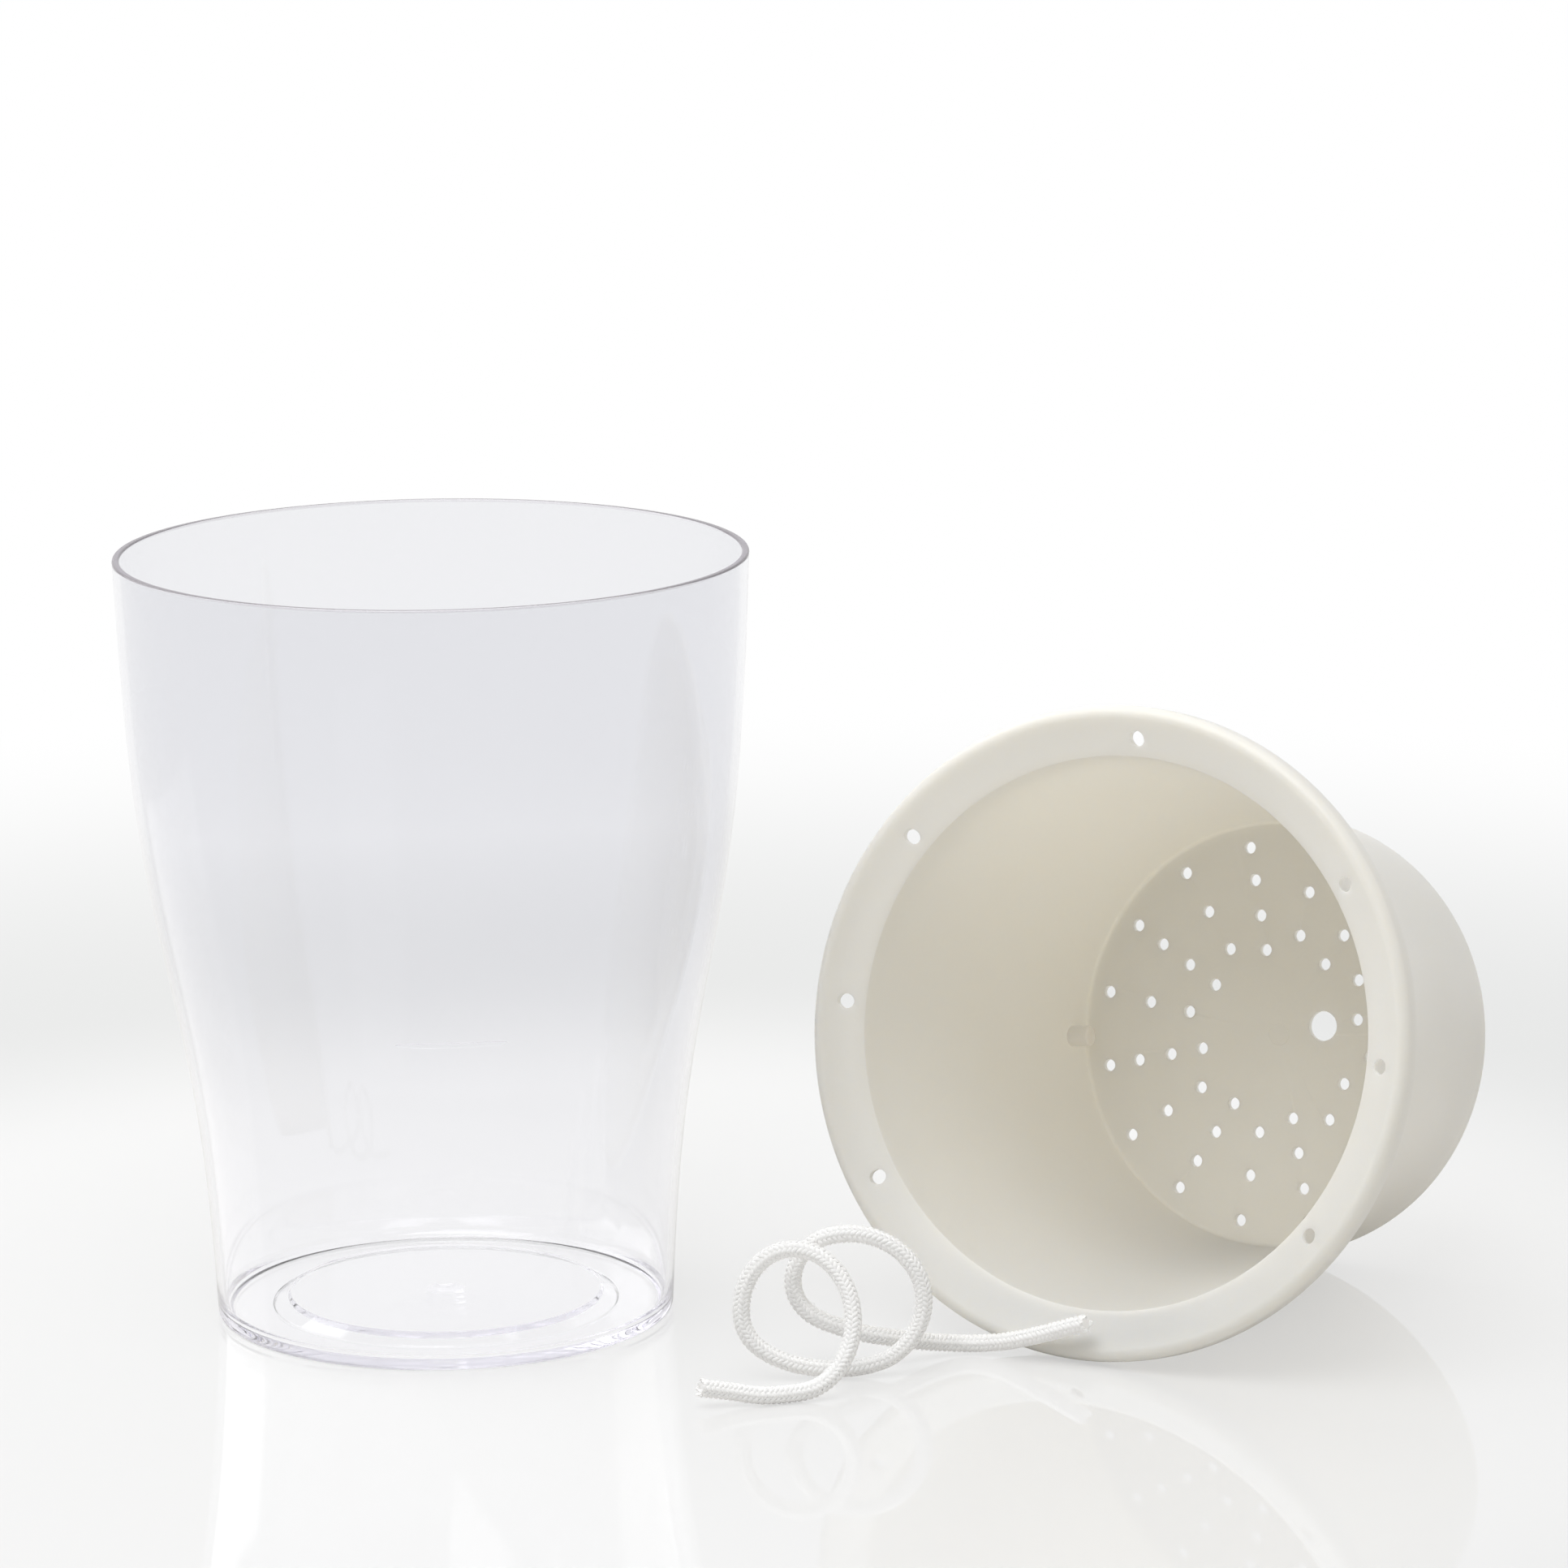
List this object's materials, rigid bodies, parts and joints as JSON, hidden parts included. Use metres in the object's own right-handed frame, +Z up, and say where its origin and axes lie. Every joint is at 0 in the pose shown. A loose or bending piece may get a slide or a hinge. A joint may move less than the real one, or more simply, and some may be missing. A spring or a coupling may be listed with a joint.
{
  "type": "self-watering pot",
  "caption": "Self-watering pot taken apart: a clear tapered outer pot for water, a drained liner with a vented hooked flange lying on its side, and a cord wick in standing loops.",
  "frame": {"origin": "on the ground, under the middle of the outline that the outer pot and the liner make together", "axes": "+Z up, +X from the standing pot to the liner that lies beside it, -Y the way the liner's mouth faces"},
  "size_m": [0.2664, 0.1996, 0.16],
  "materials": {
    "clear_plastic": "clear, polished",
    "ivory_plastic": "satin, slightly translucent",
    "cotton_braid": "braided cotton"
  },
  "bodies": {
    "pot": {"outer_pot": "clear_plastic", "wick": "cotton_braid"},
    "liner": {"liner": "ivory_plastic"}
  },
  "joints": [
    {"name": "liner_lift", "type": "slide", "parent": "pot", "child": "liner", "axis": [0, 0, 1], "range_m": [0, 0.16]}
  ]
}
